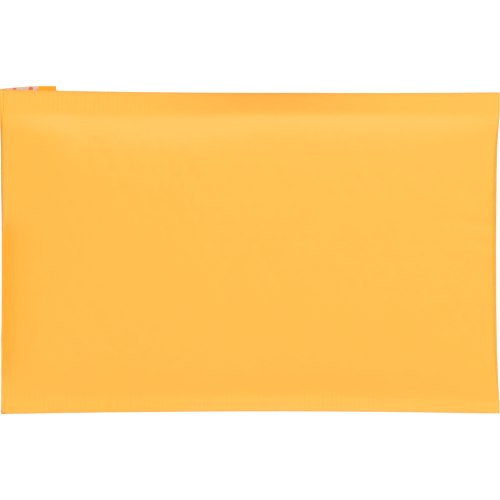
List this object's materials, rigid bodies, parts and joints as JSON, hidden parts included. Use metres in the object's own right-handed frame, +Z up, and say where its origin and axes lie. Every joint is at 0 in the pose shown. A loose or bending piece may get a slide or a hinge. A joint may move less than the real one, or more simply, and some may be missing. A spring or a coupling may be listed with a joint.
{
  "type": "self-seal padded mailer",
  "caption": "Flat golden kraft mailer with a bubble lining, crimped side seams, a folded closed end and a peel-and-seal flap folded under its mouth.",
  "frame": {"origin": "centre of the underside's footprint, on the surface the mailer lies on", "axes": "+X runs from the mouth to the closed end, +Y across the pouch, +Z up from the surface it lies on"},
  "size_m": [0.2844, 0.187, 0.0142],
  "materials": {
    "kraft": "satin",
    "kraft_flap": "satin",
    "seam": "matte",
    "bubble": "gloss",
    "film": "gloss",
    "adhesive": "satin",
    "liner": "satin"
  },
  "bodies": {
    "bag": {"front_panel": "kraft", "back_panel": "kraft", "bottom_fold": "kraft", "left_seam_weld": "seam", "right_seam_weld": "seam", "front_mouth_seal": "bubble", "back_mouth_seal": "bubble", "front_bubble_cells": "bubble", "front_inner_film": "film", "back_bubble_cells": "bubble", "back_inner_film": "film", "bottom_fold_lining": "bubble", "mouth_roll": "kraft"},
    "fold_band": {"fold_band": "kraft_flap"},
    "flap": {"flap": "kraft_flap", "flap_adhesive": "adhesive"},
    "release_liner": {"release_liner": "liner"}
  },
  "joints": [
    {"name": "flap_fold", "type": "hinge", "parent": "bag", "child": "fold_band", "pos_m": [-0.141, 0, 0.00743], "axis": [0, 1, 0], "range_deg": [0, 90]},
    {"name": "flap_turn", "type": "hinge", "parent": "fold_band", "child": "flap", "pos_m": [-0.141, 0, 0.00103], "axis": [0, 1, 0], "range_deg": [0, 90]},
    {"name": "liner_peel", "type": "slide", "parent": "flap", "child": "release_liner", "axis": [0, 1, 0], "range_m": [0, 0.2]}
  ],
  "couplings": [
    {"joint": "flap_turn", "follows": "flap_fold", "ratio": 1}
  ]
}
